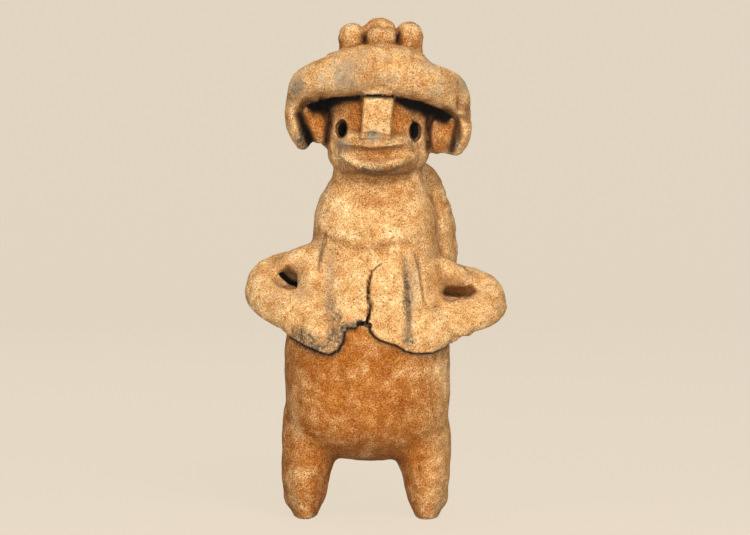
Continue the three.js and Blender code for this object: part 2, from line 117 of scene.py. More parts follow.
# Deep gaps beside the face and ears and between the knobs: the line, half width, depth and the darkness of
# the painted shade in them
HEAD_GAPS = [
    ([(-19, 174), (-19, 167), (-20.1, 160), (-20.6, 157)], 1.1, 5, 0.9),
    ([(22.2, 172), (22.1, 163), (22.3, 154)], 1.1, 5, 0.85),
    ([(-32, 171), (-30.2, 165), (-27.9, 160.5), (-26.2, 155.6)], 1.7, 6, 1),
    ([(34.3, 168), (33.2, 160), (31.6, 152)], 1, 4.5, 0.75),
    ([(-24, 174.8), (-21, 173.8), (-19.8, 169)], 2.6, 6, 1),
    ([(20, 171), (25, 169.4), (31, 166.4)], 2.3, 6, 1),
    ([(-4.4, 202.6), (-4.2, 198.6)], 1, 4, 0.9),
    ([(9.5, 203.4), (9.6, 198.6)], 1, 4, 0.9),
]
# Shallow creases over the roll's ends and between the middle knob's lobes: the line, half width and depth
HEAD_CREASES = [
    ([(33.5, 168.4), (37, 167.4), (41.5, 166.6)], 0.8, 1.3),
    ([(-38, 172.4), (-34, 172.6), (-30, 172)], 1, 0.6),
    ([(-3.8, 205.4), (1.5, 206.8), (8, 205.4)], 0.8, 1.2),
]
# Lower edges of the hollows inside the bent arms, with their height, their depth and how dark the painted
# shade at both ends is
ARM_HOLLOWS = [
    ([(-41, 103), (-39.4, 100.8), (-36.4, 98), (-32.2, 96.4)], 7, 6, (1.3, 1.3)),
    ([(27, 94.6), (30, 93), (35.6, 92.3), (40, 92.9), (43.6, 95.4)], 5, 4, (1, 0.3)),
]
# Middles of eggs of clay (sideways, backwards, up), and of the feet (sideways)
BACK_LUMP = (19, 21, 118)
LEFT_EAR = (28.3, -12.5, 161.6)
RIGHT_EAR = (-24.9, -12.5, 165.5)
FEET = (-29.8, 22.2)
# The mouth, the lips and the chin
MOUTH_LINE = [
    (-14.2, 156), (-12.3, 156.9), (-6.3, 156.3), (-0.5, 155.7), (5.9, 156.1), (10.4, 156.8), (13.6, 156.1),
]
LOWER_LIP = [
    (-14.6, 152.3), (-11.4, 149.6), (-6, 148), (0.2, 146.8), (6.8, 148.4), (11.7, 150.2), (15, 152.6),
]
UPPER_LIP = [
    (-16, 154.8), (-14.8, 158), (-11.3, 161.9), (-6.1, 162), (6.2, 161), (10.1, 160.7), (14.3, 158.8),
    (17, 155.8),
]
CHIN = [(-17, 147.4), (-9.3, 144.4), (0.3, 142.2), (7, 142.3), (14, 144.2), (19.5, 147.4)]
# The groove between the lump at the back and the body
LUMP_GROOVE = [(20.6, 150), (24.6, 138), (27, 126), (27.8, 116), (30.5, 110)]
# Places smeared even by thumbs: how often, the middle and the half sizes
SMEARED = [
    (70, (0, -24, 34), (50, 24, 16)),
    (25, (-27, -12, 102), (12, 16, 19)),
    (25, (25, -12, 99), (12, 16, 19)),
    (12, (37, -6, 97), (10, 14, 9)),
    *((18, (across, -1.5, 12), (13, 15, 10)) for across in FEET),
    (15, (1.4, -25, 180.4), (9, 12, 3.6)),
]
# Oval places on the front, each with its middle, half sizes and weight: soot, grey clay, and brown that is
# partly grime and partly painted shade
SOOT_SPOTS = [
    ((13.5, 76), (4.5, 7), 0.8), ((13.4, 94), (3.2, 21), 0.75), ((-18.6, 91), (3.6, 17), 0.65),
    ((-22.4, 112), (2, 12), 0.6), ((15.2, 157.4), (3.2, 2.6), 0.8), ((1, 146), (14, 4), 0.8),
    ((-1.4, 161.1), (3.6, 1.7), 2), ((-8, 187), (14, 7), 0.4), ((4, 183), (12, 5), 0.35),
    ((-33, 180), (6, 7), 0.4), ((30, 184), (8, 6), 0.3), ((-42, 92), (9, 9), 0.35),
    ((44, 76), (10, 5), 0.3), ((-30, 159.5), (5, 7), 1.5), ((34, 157), (5, 7), 0.8),
]
GREY_SPOTS = [
    ((-0.6, 159.9), (4.4, 3.1), 1.8), ((-13, 156.2), (4.8, 3.3), 1.6), ((-9.5, 190), (11, 7), 0.75),
    ((7, 184.5), (12, 4), 0.3), ((-36, 172), (5, 12), 0.3), ((15.4, 100), (4.4, 20), 0.6),
    ((13.5, 80), (3.4, 10), 0.5), ((-18.6, 96), (4.2, 26), 0.45), ((-24, 116), (5, 12), 0.35),
    ((-30, 97), (7, 9), 0.3),
]
# Of the brown spots, the two on the figure's right arm and right flank are painted shade on the side away
# from the key light; the other two are grime
DIRT_AND_SHADE_SPOTS = [
    ((23, 110), (11, 17), 0.45), ((33, 179), (12, 14), 0.55), ((-41, 94), (14, 14), 0.25),
    ((-30, 45), (12, 34), 0.25),
]
# Depth at which a small hollow counts in full as darkened by painted shade, or a small rise as worn
FINE_DEPTH = 0.9


class ClaySettings(bpy.types.PropertyGroup):
    """Sizes of the clay's own forms."""

    grid: FloatProperty(
        name="Grid", description="Cell of the grid that fuses the clay", default=1.05 * MM, unit="LENGTH"
    )
    fillet: FloatProperty(
        name="Fillet", description="How round the joins are pressed", default=1.7 * MM, unit="LENGTH"
    )
    lumps: FloatProperty(
        name="Lumps", description="Height of the hand-made lumps", default=0.45 * MM, unit="LENGTH"
    )
    break_step: FloatProperty(
        name="Break", description="How far the broken edge stands off", default=2.2 * MM, unit="LENGTH"
    )
    crack_depth: FloatProperty(name="Crack", description="Depth of the crack", default=5 * MM, unit="LENGTH")
    pits: IntProperty(name="Pits", description="Number of pits worn into the skin", default=420, min=0)


class FiredColours(bpy.types.PropertyGroup):
    """Colours of the fired clay."""

    sandy: FloatVectorProperty(
        name="Sandy", description="Skin of the upper body", subtype="COLOR", default=(0.74, 0.41, 0.158)
    )
    rust: FloatVectorProperty(
        name="Rust", description="Bare clay of belly and legs", subtype="COLOR", default=(0.405, 0.128, 0.015)
    )
    pale: FloatVectorProperty(
        name="Pale", description="Worn, bleached skin", subtype="COLOR", default=(0.77, 0.49, 0.22)
    )
    soot: FloatVectorProperty(
        name="Soot", description="Fire clouds", subtype="COLOR", default=(0.08, 0.06, 0.043)
    )
    grey: FloatVectorProperty(
        name="Grey", description="Chips and smudges", subtype="COLOR", default=(0.34, 0.285, 0.2)
    )
    # Umber is both grime and painted shade: in hollows, under the lips, the chin and the roll, on the neck
    # and in the eyes
    umber: FloatVectorProperty(
        name="Umber", description="Dirt in the hollows", subtype="COLOR", default=(0.2, 0.075, 0.018)
    )


class StageSettings(bpy.types.PropertyGroup):
    """Floor, camera and lights."""

    floor: FloatVectorProperty(
        name="Floor", description="Pale floor", subtype="COLOR", default=(0.761, 0.665, 0.539)
    )
    distance: FloatProperty(name="Distance", description="Camera to figure", default=1.2, unit="LENGTH")
    elevation: FloatProperty(
        name="Elevation", description="Camera above the level", default=math.radians(2), subtype="ANGLE"
    )
    key: FloatProperty(name="Key light", description="Power of the key light", default=7.4, unit="POWER")
    fill: FloatProperty(name="Fill light", description="Power of the fill light", default=3, unit="POWER")


# Reading and writing a mesh's points


def points_of(mesh):
    """The mesh's points in millimetres."""
    values = np.empty(len(mesh.vertices) * 3)
    mesh.vertices.foreach_get("co", values)
    return values.reshape(-1, 3) / MM


def put_points(mesh, points):
    """Moves the mesh's points to these places, in millimetres."""
    mesh.vertices.foreach_set("co", (points * MM).ravel())
    mesh.update()


def normals_of(mesh):
    """The outward direction at each point."""
    values = np.empty(len(mesh.vertices) * 3)
    mesh.vertex_normals.foreach_get("vector", values)
    return values.reshape(-1, 3)


def neighbour_mean(values, edges, count):
    """For each point, the mean of the values at its neighbours."""
    total = np.zeros((count, values.shape[1]))
    first, second = edges[:, 0], edges[:, 1]
    for column in range(values.shape[1]):
        total[:, column] = np.bincount(first, values[second, column], count)
        total[:, column] += np.bincount(second, values[first, column], count)
    degree = np.bincount(first, minlength=count) + np.bincount(second, minlength=count)
    return total / degree[:, None]


def edges_of(mesh):
    """The two points that each edge joins."""
    values = np.empty(len(mesh.edges) * 2, int)
    mesh.edges.foreach_get("vertices", values)
    return values.reshape(-1, 2)


def soften(mesh, passes, share=1.0):
    """Smooths the clay without shrinking it; share, one number or one for each point, says how much."""
    points, edges = points_of(mesh), edges_of(mesh)
    share = np.broadcast_to(share, len(points))[:, None]
    for _ in range(passes):
        for factor in (0.5, -0.52):
            points += factor * share * (neighbour_mean(points, edges, len(points)) - points)
    put_points(mesh, points)


def smear(mesh, passes, centre, radii):
    """Smooths one egg-shaped place, so that its creases and hollows even out."""
    points, edges = points_of(mesh), edges_of(mesh)
    share = np.sqrt(spot(points, centre, radii))[:, None]
    for _ in range(passes):
        points += 0.5 * share * (neighbour_mean(points, edges, len(points)) - points)
    put_points(mesh, points)


# Fields over the surface


def smooth(low, high, values):
    """0 below low, 1 above high and a soft step between."""
    t = np.clip((values - low) / (high - low), 0, 1)
    return t * t * (3 - 2 * t)


def bell(away, width):
    """1 at no distance, falling softly to 0 over about this width."""
    return np.exp(-((away / width) ** 2))


def between_ends(along, fade):
    """1 along a line, fading to 0 over this share of it at both ends."""
    return smooth(0, fade, along) * (1 - smooth(1 - fade, 1, along))


def cloud(points, size, seed, octaves=3):
    """Soft noise from about -1 to 1, with features of about this size in millimetres."""
    places = points / size + np.array([seed * 7.3, seed * 3.1, seed * 5.7])
    return np.array([noise.fractal(p, 1.0, 2.0, octaves) for p in places.tolist()])


def from_line(line, points):
    """How far each point is from a line on the front, and where along the line it lies, from 0 to 1."""
    corners = np.array(line, float)
    lengths = np.linalg.norm(np.diff(corners, axis=0), axis=1)
    starts = np.concatenate([[0], np.cumsum(lengths)])
    flat = points[:, [0, 2]]
    best = np.full(len(points), np.inf)
    along = np.zeros(len(points))
    for i, length in enumerate(lengths):
        step = corners[i + 1] - corners[i]
        t = np.clip((flat - corners[i]) @ step / length**2, 0, 1)
        away = np.linalg.norm(flat - corners[i] - t[:, None] * step, axis=1)
        nearer = away < best
        best[nearer] = away[nearer]
        along[nearer] = (starts[i] + t[nearer] * length) / starts[-1]
    return best, along


def above(line, points):
    """True where a point lies above a line that runs from the figure's right to its left."""
    corners = [*line, (line[-1][0], HEIGHT), (line[0][0], HEIGHT)]
    x, z = points[:, 0], points[:, 2]
    inside = np.zeros(len(points), bool)
    for (x1, z1), (x2, z2) in zip(corners, corners[1:] + corners[:1]):
        if z1 == z2:
            continue
        crosses = (z1 > z) != (z2 > z)
        inside ^= crosses & (x < (x2 - x1) * (z - z1) / (z2 - z1) + x1)
    return inside


def height_over(line, points):
    """How far each point lies above such a line, with a minus below it."""
    away, _ = from_line(line, points)
    return np.where(above(line, points), away, -away)


def along_line(line, points, width, fade):
    """1 on a line on the front, fading over a width and towards both ends."""
    away, along = from_line(line, points)
    return bell(away, width) * between_ends(along, fade)


def spot(points, centre, radii):
    """1 at the centre of an egg-shaped place (x, y, z) and 0 outside it."""
    reach = np.linalg.norm((points - np.array(centre)) / np.array(radii), axis=1)
    return np.clip(1 - reach**2, 0, 1) ** 2


def reach_from(points, centre, radii):
    """How far each point lies from an oval's centre (sideways, height), as a share of its half sizes."""
    return np.hypot((points[:, 0] - centre[0]) / radii[0], (points[:, 2] - centre[1]) / radii[1])


def front_spot(points, centre, radii):
    """1 at the centre of an oval place on the front and 0 outside it."""
    return np.clip(1 - reach_from(points, centre, radii) ** 2, 0, 1) ** 2 * (points[:, 1] < 0)


def patchwork(points, spots):
    """The sum of oval places on the front, each with its centre, half sizes and weight."""
    return sum(weight * front_spot(points, centre, radii) for centre, radii, weight in spots)


# The clay


def surface_finder():
    """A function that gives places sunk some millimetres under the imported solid's front."""
    solid = bmesh.new()
    solid.from_mesh(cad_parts[NODE].data)
    tree = BVHTree.FromBMesh(solid)
    solid.free()

    def on_front(x, z, sunk):
        hit = tree.ray_cast(Vector((x * MM, LOW.y - 0.1, z * MM)), Vector((0, 1, 0)))[0]
        return x, hit.y / MM + sunk, z

    return on_front


def press_clay(clay, centre, halves, lean=0.0, turned=0.0):
    """Adds an egg of clay at (x, y, z) with its three half sizes, leaning and turned by angles in degrees."""
    turn = Euler((0, math.radians(lean), math.radians(turned)))
    place = Matrix.LocRotScale(Vector(centre) * MM, turn, Vector(halves) * MM)
    bmesh.ops.create_uvsphere(clay, u_segments=32, v_segments=20, radius=1, matrix=place)


def added_clay(clay):
    """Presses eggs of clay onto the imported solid, each with its middle, half sizes, lean and turn."""
    on_front = surface_finder()
    eggs = [
        # Webs between the arms and the chest
        (on_front(-27, 87, 6), (8, 6.5, 9), 28),
        (on_front(25, 84, 6), (8, 6.5, 8), -28),
        ((-26, -12.5, 100), (6.2, 8.5, 15), 6),
        ((22.5, -12, 99), (5.5, 9, 15), -5),
        # Sheets of clay that run from the shoulders into the arms
        ((-31, -8, 109.3), (14, 7.5, 4.6), -22, -20),
        ((30.4, -8, 104), (12.6, 7.5, 4.8), 28, 20),
        # Hands laid on the belly
        (on_front(-19, 79, 4.4), (11, 5, 9.5), 12),
        (on_front(19, 79, 4), (13, 5, 9), -6),
        # Upper lip, a thick band across the face under the nose
        ((-8.6, -21.6, 158.7), (7.6, 7.6, 4.2), -10),
        ((9.4, -21.4, 158.2), (7.8, 7.6, 3.9), 8),
        # Underside of the lower lip, down to the chin
        ((0.8, -16.5, 147.4), (15.5, 9.6, 5.2)),
        # Ears, and the ends of the roll that hang beside them
        (RIGHT_EAR, (5, 6, 8.5), -17),
        (LEFT_EAR, (5.9, 6, 8.8), 6),
        ((-30.2, -10, 177.5), (6, 10, 9)),
        ((-32.6, -10.5, 170), (5.4, 8, 10), -3),
        ((-31.9, -10, 163.2), (4.9, 6.4, 9), -16),
        ((33.5, -10.5, 172), (6, 8.5, 9)),
        ((35.6, -10, 163), (4.8, 6.4, 9.2), 10),
        # Middle knob: its dome at the back and its lobe in front
        ((1.4, -4, 203.2), (6.8, 6, 6.6)),
        ((2.8, -10.5, 201.4), (6.4, 5.4, 5.2)),
        # Soles
        *(((across, -1.5, 9.5), (9, 10.5, 8.4)) for across in FEET),
    ]
    for egg in eggs:
        press_clay(clay, *egg)


def base_clay():
    """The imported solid's own mesh with the added clay, not yet fused."""
    clay = bmesh.new()
    clay.from_mesh(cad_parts[NODE].data)
    bmesh.ops.remove_doubles(clay, verts=clay.verts, dist=0.002 * MM)
    added_clay(clay)
    mesh = bpy.data.meshes.new("clay")
    clay.to_mesh(mesh)
    clay.free()
    piece = bpy.data.objects.new("clay_figure", mesh)
    bpy.context.scene.collection.objects.link(piece)
    return piece


def fuse(piece, grid):
    """Fuses overlapping clay into one skin of even cells."""
    piece.data.remesh_voxel_size = grid
    bpy.context.view_layer.objects.active = piece
    bpy.ops.object.voxel_remesh()


def swell(piece, distance, soft_below):
    """Moves the skin out by a distance, in millimetres, that is small on the head and beside the lump."""
    points = points_of(piece.data)
    share = 1 - smooth(soft_below - 8, soft_below, points[:, 2])
    share *= 1 - np.clip(2 * spot(points, BACK_LUMP, (24, 26, 46)), 0, 1)
    put_points(piece.data, points + normals_of(piece.data) * (distance * (0.15 + 0.85 * share))[:, None])


def press_joins(piece, settings):
    """Rounds the inner corners where limbs meet the body, as thumbs press them into the clay."""
    neck = 0.7 * HEIGHT
    radius = settings.fillet / MM
    swell(piece, radius, neck)
    fuse(piece, settings.grid * 1.15)
    swell(piece, -radius, neck)
    fuse(piece, settings.grid)


def refine(mesh, wanted, passes):
    """Splits the cells whose corners wanted(points) picks, so that fine edges hold."""
    for _ in range(passes):
        picked = wanted(points_of(mesh))
        clay = bmesh.new()
        clay.from_mesh(mesh)
        edges = [e for e in clay.edges if picked[e.verts[0].index] and picked[e.verts[1].index]]
        bmesh.ops.subdivide_edges(clay, edges=edges, cuts=1, use_grid_fill=True)
        clay.to_mesh(mesh)
        clay.free()


def near(line, distance, points):
    """True within a distance of a line on the front."""
    return from_line(line, points)[0] < distance


def near_arm_hollows(distance, points):
    """True within a distance of the lower edges of the hollows inside the arms."""
    return np.any([near(line, distance, points) for line, *_ in ARM_HOLLOWS], axis=0)


def near_fine_lines(points):
    """Points close to the crack, the broken edge, the grooves, the face's lines and the arms' hollows."""
    crack = near(CRACK, 1.3, points) | near(GAP, 2.4, points)
    grooves = near(RIGHT_GROOVE, 1.2, points) | near(LEFT_GROOVE, 1.2, points)
    edge = near(BROKEN_EDGE, 1.5, points) & (np.abs(points[:, 0]) < 40)
    thickness = near(BROKEN_EDGE, 2.8, points) & (np.abs(points[:, 0] + 10) < 5)
    face = near(MOUTH_LINE, 1.2, points) | near(NOSE, 1, points) | near(UNDER_ROLL, 1.6, points)
    picked = crack | grooves | edge | thickness | face | near_arm_hollows(1.5, points)
    return (points[:, 1] < 0) & picked


def near_face(points):
    """Points on the face, round the broken edge and round the arms' hollows."""
    x, y, z = points.T
    face = (np.abs(x - 1) < 20) & (z > 0.69 * HEIGHT) & (z < 0.83 * HEIGHT)
    edge = near(BROKEN_EDGE, 2.6, points) & (np.abs(x) < 42)
    return (y < -12) & (face | edge) | (y < 0) & near_arm_hollows(2.4, points)


def lump_share(points):
    """1 on the rough lump at the back and 0 elsewhere."""
    x, y, z = points.T
    return smooth(1, 5, y) * smooth(99, 106, z) * (1 - smooth(146, 154, z)) * smooth(2, 10, x)


# What the hands, tools and breaks did to the surface, as moves along its normal in millimetres


def hand_lumps(points, settings):
    """Lumps and dents all over, stronger on the back lump, the figure's left ear and the lower lip."""
    height = settings.lumps / MM
    lip = bell(from_line(LOWER_LIP, points)[0], 2.4) * (points[:, 1] < -12)
    rough = 0.8 * lump_share(points) + 0.8 * spot(points, LEFT_EAR, (9, 11, 14)) + 0.9 * lip
    knobs = smooth(192, 198, points[:, 2])
    broad = height * cloud(points, 17, 1, 2)
    roll = smooth(174, 180, points[:, 2])
    small = (0.17 + 0.3 * np.clip(rough, 0, 1) + 0.1 * knobs + 0.15 * roll) * cloud(points, 4.2, 2, 3)
    return broad + small + 0.9 * rough * cloud(points, 8, 3, 3) + 0.5 * lip * cloud(points, 2.4, 18, 2)


def worn_pits(points, settings):
    """Shallow pits at random places."""
    chance = np.random.default_rng(5)
    moved = np.zeros(len(points))
    for i in chance.choice(len(points), settings.pits, replace=False):
        radius = chance.uniform(0.9, 1.9)
        close = np.abs(points - points[i]).max(axis=1) < radius
        reach = np.linalg.norm(points[close] - points[i], axis=1) / radius
        moved[close] -= chance.uniform(0.18, 0.5) * np.clip(1 - reach**2, 0, 1)
    return moved


def cape_ledge(points):
    """The soft ledge where the shoulders' clay ends over the chest."""
    signed = height_over(CAPE_EDGE, points) + 0.8 * cloud(points, 4, 9, 2)
    front = points[:, 1] < -8
    within = (1 - smooth(14, 23, np.abs(points[:, 0] + 1))) * (1 + cloud(points, 9, 8, 2))
    ledge = 0.36 * np.tanh(signed / 0.7) * np.exp(-np.abs(signed) / 5)
    return ledge * front * within


def trough(line, points, width, depth):
    """A groove along a line, fading out at both ends."""
    away, along = from_line(line, points)
    ends = smooth(0, 0.15, along) * (1 - smooth(0.75, 1, along))
    return -depth * bell(away, width) * ends * (points[:, 1] < -4)


def tool_marks(points):
    """Grooves and the thin ridge between the chest and the arms."""
    marks = trough(RIGHT_GROOVE, points, 0.55, 1.0)
    marks += trough(RIGHT_VALLEY, points, 2.6, 0.6)
    marks += trough(LEFT_GROOVE, points, 0.8, 1.2)
    marks += trough(LEFT_GROOVE, points, 4, 0.8)
    marks += trough(LEFT_RIDGE, points, 0.7, -0.9)
    marks += trough(beside(LEFT_RIDGE, 1.3), points, 0.6, 0.7)
    return marks


def beside(line, distance):
    """The same line, moved sideways."""
    return [(x + distance, z) for x, z in line]


def line_shade(points):
    """The dark of the grooves, from 0 to 1."""
    shade = 0.7 * -trough(RIGHT_GROOVE, points, 0.5, 1)
    shade += 0.55 * -trough(LEFT_GROOVE, points, 0.65, 1)
    shade += 0.5 * -trough(beside(LEFT_RIDGE, 1.2), points, 0.5, 1)
    return shade * (0.8 + 0.5 * cloud(points, 3, 14, 2))


def edge_thickness(points):
    """How far the chest's broken edge shows its thickness, in millimetres: only to the right of the gap."""
    x, z = points[:, 0], points[:, 2]
    return 1.5 * smooth(-13.6, -12.6, x) * (1 - smooth(-7.2, -6.2, x)) * smooth(79.4, 80.4, z)


def broken_edge(points, settings):
    """The step down from the chest's clay to the belly, with a narrow gap under its edge."""
    ragged = 0.2 * cloud(points, 1.8, 4, 2) + 0.4 * cloud(points, 5, 5, 2)
    signed = height_over(BROKEN_EDGE, points) + ragged + edge_thickness(points)
    step = settings.break_step / MM
    rise = 0.5 * step * np.tanh(signed / 0.3) * np.exp(-np.abs(signed) / 7)
    gap = -1.5 * bell(signed + 0.5, 0.42)
    within = 1 - smooth(37, 42, np.abs(points[:, 0]))
    front = smooth(8, 14, -points[:, 1])
    return (rise + gap) * within * front


def crack_and_gap(points, settings):
    """The crack that runs up the chest, and the black gap at its foot."""
    wobble = 0.22 * cloud(points, 1.6, 6, 2)
    away, along = from_line(CRACK, points)
    half = 0.16 + 0.52 * along + wobble * along
    crack = 1 - smooth(0.65, 1.35, away / np.maximum(half, 0.05))
    gap_away, _ = from_line(GAP, points)
    gap = 1 - smooth(0.8, 1.3, gap_away + 1.6 * wobble)
    depth = settings.crack_depth / MM
    return -depth * np.maximum(crack, gap) * (points[:, 1] < -8)


def nose_edges(points):
    """Crisp edges round the plank nose."""
    away, _ = from_line(NOSE, points)
    z = points[:, 2]
    front = (points[:, 1] < -14) * (z > NOSE[1][1] - 3) * (1 - smooth(NOSE_TOP - 3, NOSE_TOP, z))
    side = np.where(nose_front(points), 1, -1)
    return 0.8 * side * np.tanh(away / 0.35) * np.exp(-away / 1.5) * front


def creases(points):
    """Shallow creases between lobes of the head's clay, and the groove beside the lump at the back."""
    moved = np.zeros(len(points))
    for line, width, depth in HEAD_CREASES:
        moved += trough(line, points, width, depth)
    away, along = from_line(LUMP_GROOVE, points)
    beside_lump = (points[:, 1] > 1) & (points[:, 1] < 12)
    return moved - 1.6 * bell(away, 1.5) * np.sin(math.pi * np.clip(along, 0.05, 0.95)) * beside_lump


def mouth(points):
    """The lips' rims, the upper one with a crisp lower line."""
    away, along = from_line(MOUTH_LINE, points)
    upper = 0.7 * np.exp(-away / 2) * between_ends(along, 0.12) * above(MOUTH_LINE, points)
    lower = 0.9 * along_line(LOWER_LIP, points, 1.9, 0.2)
    away, along = from_line(CHIN, points)
    chin = -1.3 * bell(away, 1.3) * np.sin(math.pi * along)
    band = 0.35 * smooth(0, 1.2, from_line(UPPER_LIP, points)[0]) * lip_band(points)
    return (upper + lower + chin + band) * (points[:, 1] < -8)


def lip_band(points):
    """True on the upper lip."""
    face = (points[:, 1] < -12) & (points[:, 2] < 163)
    return above(MOUTH_LINE, points) & ~above(UPPER_LIP, points) & face


def mouth_hollow(points):
    """1 in the hollow between the lips."""
    reach = reach_from(points, (0.4, 152.6), (13.4, 4.6))
    return (1 - smooth(0.25, 1, reach)) * ~above(MOUTH_LINE, points) * (points[:, 1] < -12)


def nose_front(points, spare=0.0):
    """True on the plank of the nose, and on a strip of some millimetres on each side of it."""
    x, y, z = points.T
    (high_right, high), (low_right, low), (low_left, _), (high_left, _) = NOSE
    right = np.interp(z, (low, high), (low_right, high_right))
    left = np.interp(z, (low, high), (low_left, high_left))
    return (x > right - spare) & (x < left + spare) & (z > low) & (z < NOSE_TOP) & (y < -14)


def round_ears(points):
    """A ring round the upper side of each ear, from 0 to 1, where its gap lies."""
    share = np.zeros(len(points))
    for (across, up), (half_width, half_height), lean in EARS:
        angle = math.radians(lean)
        x, z = points[:, 0] - across, points[:, 2] - up
        along = z * math.cos(angle) + x * math.sin(angle)
        side = x * math.cos(angle) - z * math.sin(angle)
        reach = np.hypot(side / half_width, along / half_height)
        ring = smooth(0.86, 1.1, reach) * (1 - smooth(1.15, 1.45, reach))
        share = np.maximum(share, ring * smooth(-0.5, 0.1, along / half_height))
    return share


def under_roll(points):
    """1 right under the roll's lower edge, fading down the face."""
    away, along = from_line(UNDER_ROLL, points)
    below = smooth(0, 0.5, away) * ~above(UNDER_ROLL, points) * ~nose_front(points, 0.9)
    return np.exp(-away / ROLL_FADE) * between_ends(along, 0.06) * below


def head_gaps(points):
    """How dark the painted shade is, from 0 to 1, in the head's gaps, round the ears, under the roll and at
    the nose's top, and how far back each point in them is pushed.
    """
    share, pushed = np.zeros(len(points)), np.zeros(len(points))
    front = 1 - smooth(-3, 3, points[:, 1])
    for line, width, depth, darkness in HEAD_GAPS:
        away, along = from_line(line, points)
        here = bell(away, width) * (0.35 + 0.65 * between_ends(along, 0.12)) * front
        share = np.maximum(share, darkness * here)
        pushed = np.maximum(pushed, depth * here)
    rings, overhang = round_ears(points) * front, under_roll(points) * front
    depth_of_shade = np.interp(points[:, 0], *np.array(ROLL_SHADE).T)
    away = -ROLL_FADE * np.log(np.clip(overhang, 1e-6, 1))
    shadow = 1 - smooth(0.5 * depth_of_shade, 1.5 * depth_of_shade, away)
    plank_top = nose_front(points) * (1 - smooth(0.8, 1.9, from_line(UNDER_ROLL, points)[0]))
    # The darkness is painted shade: in the gaps, round the ears' upper sides, under the roll and across the
    # nose's top
    share = np.maximum.reduce([share, 0.6 * rings, shadow, plank_top])
    return share, np.maximum.reduce([pushed, 4.5 * rings, 6 * overhang, 1.6 * plank_top])


def arm_hollows(points):
    """How far back the hollows inside the arms are pushed, and how dark the painted shade in them is."""
    pushed, dark = np.zeros(len(points)), np.zeros(len(points))
    for line, height, depth, darkness in ARM_HOLLOWS:
        away, along = from_line(line, points)
        inside = between_ends(along, 0.12) * above(line, points) * (points[:, 1] < 2)
        pushed += depth * inside * smooth(0, 0.8, away) * (1 - smooth(0.6 * height, height, away))
        dark += np.interp(along, (0, 1), darkness) * inside * bell(away - 1.1, 1.4)
    return pushed, dark


def eye_holes(points):
    """How far each point is pushed back to open the eyes."""
    y = points[:, 1]
    depth = 7
    pushed = np.zeros(len(points))
    for centre, radii in EYES:
        reach = reach_from(points, centre, radii)
        rim = np.median(y[(reach > 1.1) & (reach < 1.5) & (y < -8)])
        floor = rim + depth * (1 - smooth(0.72, 1.02, reach))
        pushed = np.where((reach < 1.02) & (y < 0), np.maximum(pushed, floor - y), pushed)
    return pushed


def painted_shade_lines(points):
    """Painted shade in brown: under the upper lip, in the chin's crease and under the lower lip, and down the
    face and the nose under the roll; also a darker line along the cape's edge.
    """
    # Painted shadow under the upper lip, then painted shade in the chin's crease and under the lower lip
    away, along = from_line(MOUTH_LINE, points)
    in_corner = bell(away - 0.9, 1.1) * between_ends(along, 0.15) * ~above(MOUTH_LINE, points)
    dirt_and_shade = 1.2 * in_corner + 0.9 * along_line(CHIN, points, 1.7, 0.2)
    beneath = ~above(LOWER_LIP, points) & above(CHIN, points)
    dirt_and_shade += 1.1 * beneath * (1 - smooth(12, 17, np.abs(points[:, 0] - 1)))
    # A darker line along the cape's edge
    dirt_and_shade += 0.28 * along_line(CAPE_EDGE, points, 0.9, 0.3) * (1 + cloud(points, 3, 15, 2))
    # Painted shadow of the roll down the face and across the nose's top
    away, _ = from_line(UNDER_ROLL, points)
    down_face = np.where(nose_front(points), 0.6 * np.exp(-away / 2.5), 1.25 * np.exp(-away / 9))
    dirt_and_shade += down_face * ~above(UNDER_ROLL, points)
    return np.clip(dirt_and_shade, 0, 1) * (points[:, 1] < -4)


def keep_to_outlines(points):
    """Presses back what stands out past the head's sides and the arms' lower edges."""
    x, y, z = points.T
    head = (z > 152) & (z < 195)
    for line, side in ((HEAD_RIGHT_SIDE, -1), (HEAD_LEFT_SIDE, 1)):
        across, up = np.array(line).T
        limit = np.interp(z, up, across)
        beyond = head & (side * (x - limit) > 0)
        points[beyond, 0] = limit[beyond] + 0.2 * (x[beyond] - limit[beyond])
    arms = smooth(38.8, 41.5, np.abs(x)) * (z > 60)
    roll_ends = (np.abs(x) > 27) & (z > 148) & (y < 2)
    for line, share in ((UNDER_ARMS, arms), (UNDER_ENDS, roll_ends)):
        across, up = np.array(line).T
        points[:, 2] += 0.8 * share * np.clip(np.interp(x, across, up) - z, 0, None)


def sculpt(mesh, settings):
    """All the moves at once, along the smooth clay's own normals."""
    points, normals = points_of(mesh), normals_of(mesh)
    moved = hand_lumps(points, settings)
    moved += worn_pits(points, settings)
    moved += cape_ledge(points)
    moved += tool_marks(points)
    moved += broken_edge(points, settings)
    moved += crack_and_gap(points, settings)
    moved += mouth(points) + nose_edges(points) + creases(points)
    backwards = np.maximum(head_gaps(points)[1], eye_holes(points)) + 0.8 * mouth_hollow(points)
    backwards += arm_hollows(points)[0]
    points = points + normals * moved[:, None]
    points[:, 1] += backwards
    points[:, 2] = np.maximum(points[:, 2], 0)
    keep_to_outlines(points)
    put_points(mesh, points)


# Where each colour lies, kept on the mesh as numbers from 0 to 1


def keep(mesh, name, values):
    """Keeps a number from 0 to 1 on the mesh for each point."""
    layer = mesh.attributes.new(name, "FLOAT", "POINT")
    layer.data.foreach_set("value", np.clip(values, 0, 1).astype(np.float32))


def hollows(mesh, passes):
    """How deep each point lies under its surroundings, in millimetres."""
    points, edges = points_of(mesh), edges_of(mesh)
    around = points.copy()
    for _ in range(passes):
        around += 0.8 * (neighbour_mean(around, edges, len(points)) - around)
    return ((around - points) * normals_of(mesh)).sum(axis=1)


